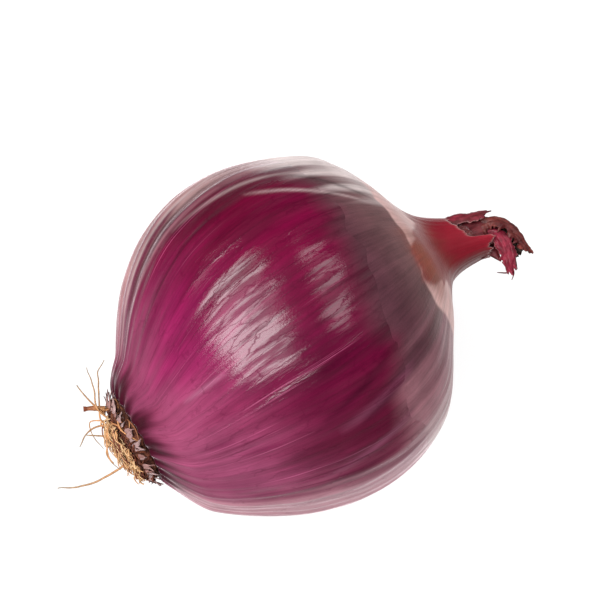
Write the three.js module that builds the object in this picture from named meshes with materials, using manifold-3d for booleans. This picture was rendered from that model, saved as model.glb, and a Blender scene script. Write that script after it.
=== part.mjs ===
// A whole red onion lying on its side, in millimetres, +Z up.
//
// The origin is the centre of the small flat spot that the onion rests on. The bulb's axis
// runs along X: the root plate faces -X and the dry neck points to +X, leaning towards -Y.
// Every grown piece is placed with onAxis(), so that all of them follow the same bends.

import * as THREE from 'three';
import { LoftGeometry } from 'three/addons/geometries/LoftGeometry.js';
import { mergeVertices } from 'three/addons/utils/BufferGeometryUtils.js';
import Module from 'manifold-3d';

const wasm = await Module();
wasm.setup();

// ---------------------------------------------------------------- driving sizes

const bulbDiameter = 80;
const rootHalfLength = 41.5;        // widest plane to the root seat
const rootFullness = 24.5;          // how far the root half keeps its full width
const shoulderFullness = 14;        // the same on the neck half
const shoulderLength = 30.8;        // widest plane to where the shoulder turns hollow
const shoulderTurnDiameter = 39.4;  // the bulb's width at that turn
const shoulderSlope = 65;           // degrees between the axis and the skin at that turn
const neckStart = 37.3;             // widest plane to the foot of the neck
const neckDiameter = 16.6;          // at the foot of the neck
const neckLength = 9;               // foot of the neck to the end of its fleshy core
const neckEndDiameter = 11.6;
const neckLean = 22;                // degrees from the axis, towards -Y
const neckBendLength = 5;           // how gently the axis turns to that lean

const seatDiameter = 21;            // flat end of the bulb under the root plate
const seatTilt = 5;                 // degrees, turns the root plate towards +Y
const seatOffset = 0.8;             // root plate's centre from the axis, towards +Y
const rootSideSag = 1.9;            // the root half swells this far towards -Y

const flatDepth = 1.2;              // how deep the resting spot cuts into the round
const skinThickness = 0.4;
const skinEdge = 16;                // widest plane to the papery skin's torn edge
const skinEdgeSlant = 4;            // the edge lies this much further on at +Y
const skinEdgeTear = 0.8;           // height of the edge's ragged teeth
const mouthLength = 2.6;            // skin beyond the end of the fleshy core

const clearance = 0.3;              // between pieces that touch

const plateDiameter = 17;
const plateThickness = 2.6;
const plateBevel = 1.4;
const collarTips = 22;
const collarTipLength = 2.6;
const collarTipThickness = 0.4;
const collarBaseThickness = 0.9;
const collarTipRise = 0.2;          // the tips stand this far off the seat

const matRoots = 18;
const matRootDiameter = 0.7;
const matRootReach = 4.6;           // how far the mat stands out from the plate
const matRootComb = 5.5;            // how far its roots bend over towards -Y
const strayRootDiameter = 0.6;
const rootTaper = 0.45;             // tip diameter as a share of the base

const leafThickness = 1.1;
const leafLengths = [6, 9.5, 11, 9, 6.5];    // from the lowest leaf end to the highest
const leafDroops = [20, 80, 70, 55, 30];    // degrees that each turns over towards -Y
const leafFlare = 0.35;             // how much wider a leaf end is outside the mouth
const leafTipShare = 0.25;          // its tip's width as a share of its own

// ---------------------------------------------------------------- resolution

const bulbSides = 40;
const rootHalfSteps = 11;
const shoulderSteps = 9;
const neckSteps = 8;
const skinShoulderSteps = 7;
const skinMouthSteps = 2;
const collarSteps = 4;              // along each torn tip's width
const rootSides = 5;
const rootSteps = 7;
const leafSteps = 7;

// ---------------------------------------------------------------- colours

const skinColour = 0x7e1a4a;
const paperColour = 0x6e4c54;
const plateColour = 0x7a4a2c;
const collarColour = 0xc9a0a4;
const rootColour = 0xcfa06a;
const leafColour = 0x7c2c34;

// ---------------------------------------------------------------- the bulb's form

const { smoothstep, lerp, degToRad } = THREE.MathUtils;

const bulbRadius = bulbDiameter / 2;
const axisHeight = bulbRadius - flatDepth;
const seat = new THREE.Vector2(-rootHalfLength, seatDiameter / 2);
const widest = new THREE.Vector2(0, bulbRadius);
const turn = new THREE.Vector2(shoulderLength, shoulderTurnDiameter / 2);
const neckEnd = new THREE.Vector2(neckStart + neckLength, neckEndDiameter / 2);

// The outline runs from the root seat over the widest plane and the shoulder to the end of
// the neck: x is the place along the axis and y the radius.
const slide = new THREE.Vector2(
  Math.cos(degToRad(shoulderSlope)), -Math.sin(degToRad(shoulderSlope)));
const slideReach = 0.6 * turn.y;
const rootHalf = new THREE.CubicBezierCurve(
  seat, new THREE.Vector2(seat.x + 0.7, seat.y + 4.6),
  new THREE.Vector2(-rootFullness, bulbRadius), widest);
const shoulder = new THREE.CubicBezierCurve(
  widest, new THREE.Vector2(shoulderFullness, bulbRadius),
  turn.clone().addScaledVector(slide, -slideReach), turn);
const neck = new THREE.CubicBezierCurve(
  turn, turn.clone().addScaledVector(slide, slideReach),
  new THREE.Vector2(neckStart, neckDiameter / 2), neckEnd);

// Moves a place along the axis, and an offset from it (across towards +Y, up), to where it
// lies on the onion. The seat is tilted and set off the axis. Past the shoulder the axis
// turns, as a hyperbola does, to the lean of the neck.
function onAxis(along, across, up) {
  const rootward = -along / rootHalfLength;
  const sag = rootSideSag * smoothstep(rootward, 0.3, 0.92);
  const lift = (rootSideSag + seatOffset) * smoothstep(rootward, 0.86, 1);
  const tilt = Math.tan(degToRad(seatTilt)) * smoothstep(rootward, 0.6, 1);
  const past = along - shoulderLength;
  const lean = Math.tan(degToRad(neckLean)) * (past + Math.hypot(past, neckBendLength)) / 2;
  return new THREE.Vector3(
    along + across * tilt, across + lift - sag - lean, axisHeight + up);
}

// An onion isn't quite round: slow waves around it, and a fuller shoulder towards +Y.
function roundness(along, angle) {
  const belly = Math.exp(-((along / rootHalfLength) ** 2) * 2);
  const waves = 0.006 * Math.cos(3 * angle + 1.2) - 0.006 * Math.cos(2 * angle);
  const atShoulder = Math.exp(-(((along - 0.9 * shoulderLength) / 7) ** 2));
  return 1 + waves * belly + 0.1 * Math.cos(angle) * atShoulder;
}

// A place on one of the outline's three stretches, sunk below the surface by a depth.
// The angle runs from +Y over the top.
function surfacePlace(stretch, share, angle, depth) {
  const point = stretch.getPoint(share);
  const tangent = stretch.getTangent(share);
  const radius = point.y * roundness(point.x, angle) - tangent.x * depth;
  return [point.x + tangent.y * depth, radius * Math.cos(angle), radius * Math.sin(angle)];
}

// The share of a stretch at which it reaches a place along the axis.
function shareAt(stretch, along) {
  let low = 0;
  let high = 1;
  for (let halving = 0; halving < 30; halving += 1) {
    const middle = (low + high) / 2;
    if (stretch.getPoint(middle).x < along) low = middle;
    else high = middle;
  }
  return low;
}

// ---------------------------------------------------------------- mesh helpers

function welded(geometry) {
  const bare = new THREE.BufferGeometry();
  bare.setAttribute('position', geometry.getAttribute('position'));
  bare.setIndex(geometry.getIndex());
  return mergeVertices(bare, 1e-4);
}

function toManifold(geometry) {
  const solid = welded(geometry);
  return new wasm.Manifold(new wasm.Mesh({
    numProp: 3,
    vertProperties: solid.getAttribute('position').array,
    triVerts: new Uint32Array(solid.getIndex().array),
  }));
}

function toGeometry(manifold) {
  const mesh = manifold.getMesh();
  const geometry = new THREE.BufferGeometry();
  geometry.setAttribute('position', new THREE.BufferAttribute(mesh.vertProperties, 3));
  geometry.setIndex(new THREE.BufferAttribute(mesh.triVerts, 1));
  geometry.computeVertexNormals();
  return geometry;
}

function loft(sections) {
  return new LoftGeometry(sections, { closed: true, capStart: true, capEnd: true });
}

// A loft whose last section meets its first, as a ring's does.
function ringLoft(sections) {
  const options = { closed: true, capStart: false, capEnd: false };
  const geometry = welded(new LoftGeometry([...sections, sections[0]], options));
  geometry.computeVertexNormals();
  return geometry;
}

function around(sides, pointAt) {
  return Array.from({ length: sides }, (_, side) => pointAt(2 * Math.PI * side / sides));
}

// The whole steps from 0 to 1, both ends included.
function shares(steps) {
  return Array.from({ length: steps + 1 }, (_, step) => step / steps);
}

function piece(name, geometry, colour, roughness) {
  const material = new THREE.MeshStandardMaterial({ color: colour, roughness, metalness: 0 });
  const mesh = new THREE.Mesh(geometry, material);
  mesh.name = name;
  return mesh;
}

// ---------------------------------------------------------------- bulb

// Where the papery skin's torn edge runs, as a place along the axis.
function skinEdgeAt(angle) {
  const tear = Math.sin(5 * angle + 1) + 0.6 * Math.sin(11 * angle);
  return skinEdge + skinEdgeSlant * Math.cos(angle) + skinEdgeTear * tear;
}

// How deep the bulb's flesh lies below the outline: under the papery skin it makes room.
function fleshDepth(along, angle) {
  const edge = skinEdgeAt(angle);
  return (skinThickness + clearance) * smoothstep(along, edge - 10, edge - 5);
}

function bulbSections(stretch, stretchShares) {
  return stretchShares.map((share) => {
    const along = stretch.getPoint(share).x;
    return around(bulbSides, (angle) => (
      onAxis(...surfacePlace(stretch, share, angle, fleshDepth(along, angle)))));
  });
}

function makeBulb() {
  const round = toManifold(loft([
    ...bulbSections(rootHalf, shares(rootHalfSteps).slice(0, -1)),
    ...bulbSections(shoulder, shares(shoulderSteps).slice(0, -1)),
    ...bulbSections(neck, shares(neckSteps)),
  ]));
  const ground = new THREE.BoxGeometry(bulbDiameter, bulbDiameter, bulbDiameter);
  ground.translate(0, 0, -bulbDiameter / 2);
  return piece('bulb', toGeometry(round.subtract(toManifold(ground))), skinColour, 0.3);
}

// ---------------------------------------------------------------- papery skin

// Where the skin's mouth is torn off, beyond the bulb's fleshy neck.
function mouthAt(angle) {
  const tear = Math.sin(2 * angle + 0.7) + 0.5 * Math.sin(5 * angle);
  return neckEnd.x + mouthLength + skinEdgeTear * tear;
}

// One side of the skin at one angle, from its torn edge to its mouth.
function skinLine(angle, depth) {
  const edgeShare = shareAt(shoulder, skinEdgeAt(angle));
  const [end, across, up] = surfacePlace(neck, 1, angle, depth);
  const overShoulder = shares(skinShoulderSteps).slice(0, -1);
  const alongNeck = shares(neckSteps).slice(0, -1);
  return [
    ...overShoulder.map((share) => (
      surfacePlace(shoulder, lerp(edgeShare, 1, share), angle, depth))),
    ...alongNeck.map((share) => surfacePlace(neck, share, angle, depth)),
    ...shares(skinMouthSteps).map((share) => [lerp(end, mouthAt(angle), share), across, up]),
  ];
}

function makePaperySkin() {
  const sections = around(bulbSides, (angle) => {
    const inside = skinLine(angle, skinThickness);
    const outside = skinLine(angle, 0).reverse();
    return [...inside, ...outside].map((place) => onAxis(...place));
  });
  return piece('papery_skin', ringLoft(sections), paperColour, 0.55);
}

// ---------------------------------------------------------------- leaf ends

// One dry leaf end: it lies flat in the skin's mouth, widens outside it and droops to -Y.
// Its section is a lens, and its level sets how high it lies in the stack.
function makeLeafEnd(index) {
  const level = (index - (leafLengths.length - 1) / 2) * (leafThickness + clearance);
  const mouthRadius = neckEnd.y - skinThickness - clearance;
  const baseHalfWidth = Math.sqrt(mouthRadius ** 2 - (Math.abs(level) + leafThickness / 2) ** 2);
  const length = leafLengths[index];
  const droop = degToRad(leafDroops[index]);
  const start = neckEnd.x + clearance;
  const straight = mouthLength + 2 * skinEdgeTear;

  const sections = shares(leafSteps).map((share) => {
    const run = share * length;
    const bentRun = Math.max(run - straight, 0);
    const turned = droop * smoothstep(run, straight, length);
    const way = 0.6 * turned;
    const along = start + Math.min(run, straight) + bentRun * Math.cos(way);
    const across = -bentRun * Math.sin(way);
    const flare = 1 + leafFlare * smoothstep(run, straight, straight + 2);
    const taper = lerp(1, leafTipShare, smoothstep(share, 0.7, 1));
    const halfThickness = leafThickness / 2 * lerp(1, 0.6, share);
    return around(8, (angle) => {
      const sideways = baseHalfWidth * flare * taper * Math.cos(angle);
      return onAxis(
        along + sideways * Math.sin(turned), across + sideways * Math.cos(turned),
        level + halfThickness * Math.sin(angle));
    });
  });
  return piece(`leaf_end_${index + 1}`, loft(sections), leafColour, 0.6);
}

// ---------------------------------------------------------------- root plate and collar

const plateBack = seat.x - clearance;
const plateFace = plateBack - plateThickness;
const plateFaceRadius = plateDiameter / 2 - plateBevel;

// A point at a distance from the axis, at an angle that runs from +Y over the top.
function ringPoint(along, radius, angle) {
  return onAxis(along, radius * Math.cos(angle), radius * Math.sin(angle));
}

function makeRootPlate() {
  const ringAt = (along, radius) => around(24, (angle) => ringPoint(along, radius, angle));
  return piece('root_plate', loft([
    ringAt(plateFace, plateFaceRadius),
    ringAt(plateFace + plateBevel, plateDiameter / 2),
    ringAt(plateBack, plateDiameter / 2),
  ]), plateColour, 0.85);
}

// The torn tips of old scales that stand around the plate and lie over the seat's rim.
function makeScaleCollar() {
  const innerRadius = plateDiameter / 2 + clearance;
  const outerRadius = seat.y + 1;
  const sections = around(collarTips * collarSteps, (angle) => {
    const withinTip = (angle * collarTips / (2 * Math.PI)) % 1;
    const height = 1 - Math.abs(2 * withinTip - 1);
    const unevenness = 0.75 + 0.25 * Math.sin(7 * angle + 1);
    const tipRadius = outerRadius + (collarTipLength * unevenness) * (height - 0.7);
    const tipBack = plateBack - collarTipRise;
    const baseFront = plateBack - collarBaseThickness;
    return [
      ringPoint(plateBack, innerRadius, angle),
      ringPoint(plateBack, seat.y - 1, angle),
      ringPoint(tipBack, tipRadius, angle),
      ringPoint(tipBack - collarTipThickness, tipRadius, angle),
      ringPoint(baseFront, seat.y - 1, angle),
      ringPoint(baseFront, innerRadius, angle),
    ];
  });
  return piece('scale_collar', ringLoft(sections), collarColour, 0.7);
}

// ---------------------------------------------------------------- roots

// A tapered root along a curve of points given as along, across and up.
function makeRoot(name, places, diameter) {
  const curve = new THREE.CatmullRomCurve3(places.map((place) => onAxis(...place)));
  const { normals, binormals } = curve.computeFrenetFrames(rootSteps, false);
  const sections = shares(rootSteps).map((share, step) => {
    const radius = diameter / 2 * lerp(1, rootTaper, share);
    const centre = curve.getPointAt(share);
    return around(rootSides, (angle) => centre.clone()
      .addScaledVector(normals[step], radius * Math.cos(angle))
      .addScaledVector(binormals[step], radius * Math.sin(angle)));
  });
  return piece(name, loft(sections), rootColour, 0.8);
}

// The mat of fine roots: they leave the plate straight and bend over together, as combed.
function matRootPlaces(index) {
  const spread = (plateFaceRadius - 1) * Math.sqrt((index + 0.5) / matRoots);
  const angle = index * Math.PI * (3 - Math.sqrt(5));
  const across = spread * Math.cos(angle);
  const up = spread * Math.sin(angle);
  const length = 0.8 + 0.2 * Math.cos(5 * angle);
  return [0, 0.3, 0.65, 1].map((share) => {
    const run = length * share;
    const widening = 1 + 0.35 * run;
    return [
      plateFace - clearance - matRootReach * Math.sin(run * Math.PI / 2),
      across * widening - matRootComb * run ** 2,
      up * widening,
    ];
  });
}

// Single roots that stray from the mat. Each leaves the rim of the plate's face at an angle
// in degrees, and its way is measured from there: along, across and up.
const strayRoots = {
  long: { angle: -105, way: [[-2.6, -0.8, -2.4], [-7.5, -1, -3.4], [-13, 0.6, -3], [-17, 3, -1.8]] },
  lower: { angle: -162, way: [[-1.6, -1.6, -1.2], [-2.2, -3.6, -1.6]] },
  hooked: { angle: 100, way: [[-2, -1.2, 1.8], [-4.4, -4.2, 2.4], [-6.4, -7, 1.8]] },
  stub: { angle: 10, way: [[-2, 2, 0.6], [-3.2, 3.5, 1]] },
  upper_left: { angle: 58, way: [[-1.4, 2.6, 2.4], [-1, 6.2, 5.2], [-0.2, 9.6, 7.4]] },
  upper_right: { angle: 32, way: [[-1.2, 1.8, 1.8], [0.4, 4.8, 6.2], [3.4, 8, 11.6]] },
  side: { angle: -48, way: [[-2.4, 2.2, -1.8], [-5.2, 4.8, -2.4]] },
};

function strayRootPlaces({ angle, way }) {
  const spread = plateFaceRadius - strayRootDiameter / 2;
  const across = spread * Math.cos(degToRad(angle));
  const up = spread * Math.sin(degToRad(angle));
  return [[0, 0, 0], ...way].map((step) => (
    [plateFace - clearance + step[0], across + step[1], up + step[2]]));
}

// ---------------------------------------------------------------- the onion

const onion = new THREE.Group();
onion.add(makeBulb(), makePaperySkin(), makeRootPlate(), makeScaleCollar());
leafLengths.forEach((_, index) => onion.add(makeLeafEnd(index)));
for (let index = 0; index < matRoots; index += 1) {
  const name = `mat_root_${String(index + 1).padStart(2, '0')}`;
  onion.add(makeRoot(name, matRootPlaces(index), matRootDiameter));
}
for (const [name, root] of Object.entries(strayRoots)) {
  onion.add(makeRoot(`stray_root_${name}`, strayRootPlaces(root), strayRootDiameter));
}

export default onion;
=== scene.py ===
import math

import bpy
import numpy as np
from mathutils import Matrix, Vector


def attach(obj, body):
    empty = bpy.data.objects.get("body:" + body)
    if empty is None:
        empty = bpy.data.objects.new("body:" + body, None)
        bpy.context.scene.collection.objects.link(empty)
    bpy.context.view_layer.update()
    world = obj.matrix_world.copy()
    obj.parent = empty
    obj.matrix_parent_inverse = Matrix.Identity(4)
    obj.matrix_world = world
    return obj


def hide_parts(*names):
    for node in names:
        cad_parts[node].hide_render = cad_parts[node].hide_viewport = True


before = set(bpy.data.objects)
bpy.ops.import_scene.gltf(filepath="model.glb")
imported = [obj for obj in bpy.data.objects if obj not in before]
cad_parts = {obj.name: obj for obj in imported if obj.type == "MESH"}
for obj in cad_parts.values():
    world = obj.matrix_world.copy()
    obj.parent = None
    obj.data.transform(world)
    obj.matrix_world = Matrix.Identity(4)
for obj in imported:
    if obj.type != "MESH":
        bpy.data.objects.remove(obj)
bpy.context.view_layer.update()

# A whole red onion that lies on its side. The CAD pieces give its place and size, and every
# one of them is replaced here by a finer piece of the same form. Lengths are in millimetres
# until a mesh is made, and angles around the bulb run from +Y over the top, in degrees.

MM = 0.001

# ------------------------------------------------------------------ the bulb's form

BULB_RADIUS = 40.0
ROOT_HALF = 41.5            # widest plane to the root seat
ROOT_FULLNESS = 24.5
SHOULDER_FULLNESS = 14.0
SHOULDER = 30.8             # widest plane to where the shoulder turns hollow
TURN_RADIUS = 19.7
SHOULDER_SLOPE = 65.0
NECK_START = 37.3
NECK_RADIUS = 8.3
NECK_LENGTH = 9.0
NECK_END_RADIUS = 5.8
NECK_LEAN = 22.0
NECK_BEND = 5.0
SEAT_RADIUS = 10.5
SEAT_TILT = 5.0
SEAT_OFFSET = 0.8
ROOT_SAG = 1.9
FLAT_DEPTH = 1.2
AXIS_HEIGHT = BULB_RADIUS - FLAT_DEPTH
NECK_END = NECK_START + NECK_LENGTH


def smooth(value, low, high):
    share = np.clip((value - low) / (high - low), 0, 1)
    return share * share * (3 - 2 * share)


def unit(vectors):
    return vectors / np.linalg.norm(vectors, axis=-1, keepdims=True)


def bezier(*points, steps=200):
    a, b, c, d = (np.array(p, dtype=float) for p in points)
    t = np.linspace(0, 1, steps)[:, None]
    return (1 - t) ** 3 * a + 3 * (1 - t) ** 2 * t * b + 3 * (1 - t) * t * t * c + t ** 3 * d


def bulb_outline():
    slope = math.radians(SHOULDER_SLOPE)
    slide = np.array([math.cos(slope), -math.sin(slope)]) * 0.6 * TURN_RADIUS
    turn = np.array([SHOULDER, TURN_RADIUS])
    root = bezier(
        (-ROOT_HALF, SEAT_RADIUS), (0.7 - ROOT_HALF, SEAT_RADIUS + 4.6),
        (-ROOT_FULLNESS, BULB_RADIUS), (0, BULB_RADIUS))
    shoulder = bezier(
        (0, BULB_RADIUS), (SHOULDER_FULLNESS, BULB_RADIUS), turn - slide, turn)
    neck = bezier(
        turn, turn + slide, (NECK_START, NECK_RADIUS), (NECK_END, NECK_END_RADIUS))
    return np.vstack([root, shoulder[1:], neck[1:]])


OUTLINE = bulb_outline()
RUN = np.r_[0, np.cumsum(np.hypot(*np.diff(OUTLINE, axis=0).T))]
TANGENT = unit(np.gradient(OUTLINE, RUN, axis=0))
LENGTH = RUN[-1]            # root seat to the end of the neck, along the skin


def on_axis(along, across, up):
    """Where a place along the axis, and an offset from it, lies on the onion."""
    rootward = -along / ROOT_HALF
    sag = ROOT_SAG * smooth(rootward, 0.3, 0.92)
    lift = (ROOT_SAG + SEAT_OFFSET) * smooth(rootward, 0.86, 1)
    tilt = math.tan(math.radians(SEAT_TILT)) * smooth(rootward, 0.6, 1)
    past = along - SHOULDER
    lean = math.tan(math.radians(NECK_LEAN)) * (past + np.hypot(past, NECK_BEND)) / 2
    return np.stack([along + across * tilt, across + lift - sag - lean, AXIS_HEIGHT + up], -1)


def roundness(along, angle):
    belly = np.exp(-((along / ROOT_HALF) ** 2) * 2)
    waves = 0.006 * np.cos(3 * angle + 1.2) - 0.006 * np.cos(2 * angle)
    at_shoulder = np.exp(-(((along - 0.9 * SHOULDER) / 7) ** 2))
    return 1 + waves * belly + 0.1 * np.cos(angle) * at_shoulder


def on_skin(run, degrees, height=0.0):
    """The point at a distance along the skin from the root seat, raised by a height."""
    angle = np.radians(degrees)
    radius = np.interp(run, RUN, OUTLINE[:, 1])
    along = np.interp(run, RUN, OUTLINE[:, 0])
    slope_along = np.interp(run, RUN, TANGENT[:, 0])
    slope_out = np.interp(run, RUN, TANGENT[:, 1])
    radius = radius * roundness(along, angle) + slope_along * height
    along = along - slope_out * height
    return on_axis(along, radius * np.cos(angle), radius * np.sin(angle))


# ------------------------------------------------------------------ noise

def lattice_noise(points, seed):
    """Smooth noise from -1 to 1 at each of an array of points."""
    cell = np.floor(points).astype(np.int64)
    part = points - cell
    ease = part * part * (3 - 2 * part)
    total = np.zeros(points.shape[:-1])
    for corner in range(8):
        step = np.array([corner & 1, corner >> 1 & 1, corner >> 2 & 1])
        key = cell + step
        mixed = key[..., 0] * 73856093 ^ key[..., 1] * 19349663 ^ key[..., 2] * 83492791
        mixed = (mixed ^ (seed * 2654435761)) & 0xFFFFFFFF
        mixed = ((mixed ^ (mixed >> 15)) * 2246822519) & 0xFFFFFFFF
        mixed = ((mixed ^ (mixed >> 13)) * 3266489917) & 0xFFFFFFFF
        value = ((mixed ^ (mixed >> 16)) & 0xFFFF) / 32767.5 - 1
        total += value * np.prod(np.where(step, ease, 1 - ease), axis=-1)
    return total


def layered_noise(points, seed, layers=3):
    total, strength = 0, 1
    for layer in range(layers):
        total = total + strength * lattice_noise(points * 2 ** layer, seed + layer)
        strength *= 0.5
    return total


def streak_noise(run, degrees, around, along, seed, layers=2):
    """Noise drawn out along the skin: cells per radian around, and cell length along."""
    angle = np.radians(degrees)
    points = np.stack(
        [around * np.cos(angle), around * np.sin(angle), run / along + 0 * angle], -1)
    return layered_noise(points, seed, layers)


# ------------------------------------------------------------------ meshes

def add_object(name, data):
    made = bpy.data.objects.new(name, data)
    bpy.context.scene.collection.objects.link(made)
    return made


def make_mesh(name, vertices, faces, colours, grain):
    """A smooth-shaded object from points in millimetres, with its drawn attributes."""
    vertices, colours = vertices.reshape(-1, 3), colours.reshape(-1, 3)
    mesh = bpy.data.meshes.new(name)
    mesh.from_pydata((vertices * MM).tolist(), [], faces)
    mesh.validate()
    mesh.shade_smooth()
    tone = mesh.attributes.new("tone", "FLOAT_COLOR", "POINT")
    tone.data.foreach_set("color", np.c_[colours, np.ones(len(colours))].ravel())
    drawn = mesh.attributes.new("grain", "FLOAT_VECTOR", "POINT")
    drawn.data.foreach_set("vector", grain.ravel())
    return add_object(name, mesh)


def grid_faces(rows, columns, wrap_rows=False):
    """Quads between the points of a grid that is stored row by row, each row a closed ring."""
    row = np.arange(rows if wrap_rows else rows - 1)
    r, c = np.meshgrid(row, np.arange(columns), indexing="ij")
    r2, c2 = (r + 1) % rows, (c + 1) % columns
    corners = [r * columns + c, r * columns + c2, r2 * columns + c2, r2 * columns + c]
    return np.stack(corners, -1).reshape(-1, 4).tolist()


def capped_faces(rows, columns):
    """The rings of a grid with a flat face over the first and the last."""
    faces = grid_faces(rows, columns)
    faces.append(list(range(columns))[::-1])
    faces.append(list(range((rows - 1) * columns, rows * columns)))
    return faces


def finish_piece(piece, material, slot, *nodes):
    """Puts a piece in the place of its nodes, fixed to the one body."""
    piece.data.materials.append(material)
    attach(piece, "root")
    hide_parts(*nodes)


# ------------------------------------------------------------------ colour and relief

def turn_between(degrees, other):
    return (degrees - other + 180) % 360 - 180


def srgb(red, green, blue):
    """A display colour as linear light."""
    value = np.array([red, green, blue]) / 255
    return np.where(value <= 0.04045, value / 12.92, ((value + 0.055) / 1.055) ** 2.4)


# Where the skin changes colour: the angle around the bulb, the distance along the skin, how
# far the patch reaches each way, how strong it is, and its colour.
PATCHES = [
    (100, 13, 84, 12, 0.9, srgb(168, 82, 116)),      # pink towards the root
    (86, 27, 36, 15, 0.75, srgb(160, 26, 96)),       # bright magenta
    (146, 20, 30, 20, 0.8, srgb(174, 84, 122)),      # dusky pink along the lower side
    (186, 36, 18, 40, 0.6, srgb(190, 120, 142)),     # pale mauve at the lower rim: painted rim reflection and the skin's own colour
    (122, 46, 20, 15, 0.9, srgb(106, 0, 52)),        # deep purple
    (62, 50, 24, 20, 0.9, srgb(112, 0, 46)),         # dark maroon, upper side
    (150, 52, 16, 16, 0.65, srgb(88, 20, 44)),
    (246, 44, 26, 26, 0.6, srgb(118, 16, 62)),
    (286, 34, 20, 22, 0.55, srgb(156, 36, 96)),
    (330, 48, 26, 22, 0.6, srgb(104, 2, 46)),
    (350, 26, 22, 18, 0.5, srgb(158, 60, 104)),
    (290, 14, 90, 12, 0.8, srgb(164, 78, 116)),
]
# Long thin marks: the angle and the distance where each starts and ends, its half width in
# degrees, how strong it is, and its colour.
DARK_MARK, ROSE_MARK, PALE_MARK = srgb(66, 4, 34), srgb(166, 90, 122), srgb(236, 206, 206)
MARKS = [
    (143, 43, 138, 65, 1.7, 0.55, ROSE_MARK),
    (137, 41, 130, 60, 1.4, 0.6, DARK_MARK),
    (144, 48, 140, 60, 1.1, 0.5, DARK_MARK),
    (160, 36, 152, 60, 1.5, 0.6, ROSE_MARK),
    (166, 20, 163, 50, 1.2, 0.5, DARK_MARK),
    (127, 14, 129, 23, 1.3, 0.45, srgb(124, 8, 70)),
    (136, 22, 138, 33, 1.3, 0.45, srgb(124, 8, 70)),
    (102, 17, 105, 30, 0.9, 0.6, srgb(212, 130, 166)),
    (60, 56, 82, 83, 0.9, 0.7, PALE_MARK),
    (56, 66, 80, 85, 1.5, 0.6, srgb(58, 34, 38)),
    (50, 40, 60, 80, 0.9, 0.65, PALE_MARK),
    (45, 14, 50, 62, 1.0, 0.6, srgb(214, 150, 162)),
    (41, 12, 43, 64, 1.8, 0.75, srgb(72, 8, 30)),
    (36, 8, 37, 60, 1.0, 0.8, PALE_MARK),
    (31, 20, 32, 62, 1.2, 0.5, srgb(84, 20, 40)),
]
GROUND = srgb(128, 6, 62)
# Pale colours for the bulb's edges: painted rim reflection and a paler dry film.
PALE_RIM_AND_REFLECTION, MAUVE_RIM_AND_REFLECTION = 1.2 * srgb(228, 188, 184), 1.25 * srgb(222, 176, 184)
FILM = srgb(104, 60, 72)
FILM_LATE = srgb(134, 94, 96)
# Pale film at the edges: painted rim reflection and a paler dry film.
PALE_FILM_AND_REFLECTION = 1.4 * srgb(240, 222, 220)
FILM_MAUVE = srgb(186, 126, 138)
NECK_PINK = 1.4 * srgb(234, 188, 183)
NECK_ORANGE = srgb(176, 82, 52)
NECK_BROWN = srgb(160, 56, 56)
NECK_CRIMSON = srgb(172, 30, 54)
# Painted shade for the crease at the root seat.
CREASE_SHADE = srgb(64, 6, 26)
LEAF_EDGE = srgb(216, 152, 150)
PIGMENT = 0.46              # how much darker the skin is than it looks in bright light
FRONT = 106                 # the angle around the bulb of the middle of its front


def blend(colour, other, weight):
    return colour + (other - colour) * np.asarray(weight)[..., None]


def film_start(degrees):
    """How far along the skin the dull dry film begins."""
    angle = np.radians(degrees)
    upper = 3 * np.exp(-(turn_between(degrees, 70) / 30) ** 2)
    lower = 9 * np.exp(-(turn_between(degrees, 152) / 40) ** 2)
    far = 6 * np.sin(3 * angle + 1) * np.exp(-(turn_between(degrees, 290) / 60) ** 2)
    return 66 + upper - lower + far


def add_rims_and_reflection(colour, run, upper_turn, lower_turn, upper_fade, lower_fade):
    """The pale bands along the bulb's upper and lower edge: painted rim reflection and a paler dry
    film.
    """
    rim = smooth(upper_turn + 14 * smooth(run, 40, 50), 70, 84) * upper_fade
    colour = blend(colour, PALE_RIM_AND_REFLECTION, 0.6 * rim * smooth(run, 2, 34))
    rim = smooth(lower_turn, 52, 84) * lower_fade
    return blend(colour, MAUVE_RIM_AND_REFLECTION, 0.6 * rim * smooth(run, 1, 8))


def film_colour(run, upper_turn, lower_turn, upper_fade, lower_fade):
    """The dull dry film over the shoulder: brown in front, pale at both edges from painted rim
    reflection and a paler film.
    """
    upper_end = 1 - smooth(upper_turn, 120, 160)
    lower_end = 1 - smooth(lower_turn, 120, 160)
    film = blend(np.broadcast_to(FILM, run.shape + (3,)), FILM_LATE, smooth(run, 66, 82))
    # Painted rim reflection, with a paler dry film, on the film's upper and lower edges.
    pale_and_reflection = smooth(upper_turn + 1.3 * np.maximum(run - 72, 0), 36, 60) * (0.2 + 0.8 * upper_fade)
    film = blend(film, PALE_FILM_AND_REFLECTION, pale_and_reflection * upper_end)
    film = blend(film, FILM_MAUVE, smooth(lower_turn, 24, 52) * lower_end)
    pale_and_reflection = 0.5 * smooth(lower_turn, 48, 84) * (0.2 + 0.8 * lower_fade)
    return blend(film, PALE_FILM_AND_REFLECTION, pale_and_reflection * lower_end)


def add_marks(colour, run, degrees):
    for begin, near, end, far, half, strength, mark in MARKS:
        share = np.clip((run - near) / (far - near), 0, 1)
        taper = np.sin(np.pi * share) ** 0.6
        off = turn_between(degrees, begin + (end - begin) * share) / half
        colour = blend(colour, mark, strength * taper * np.exp(-off ** 2))
    return colour


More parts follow.
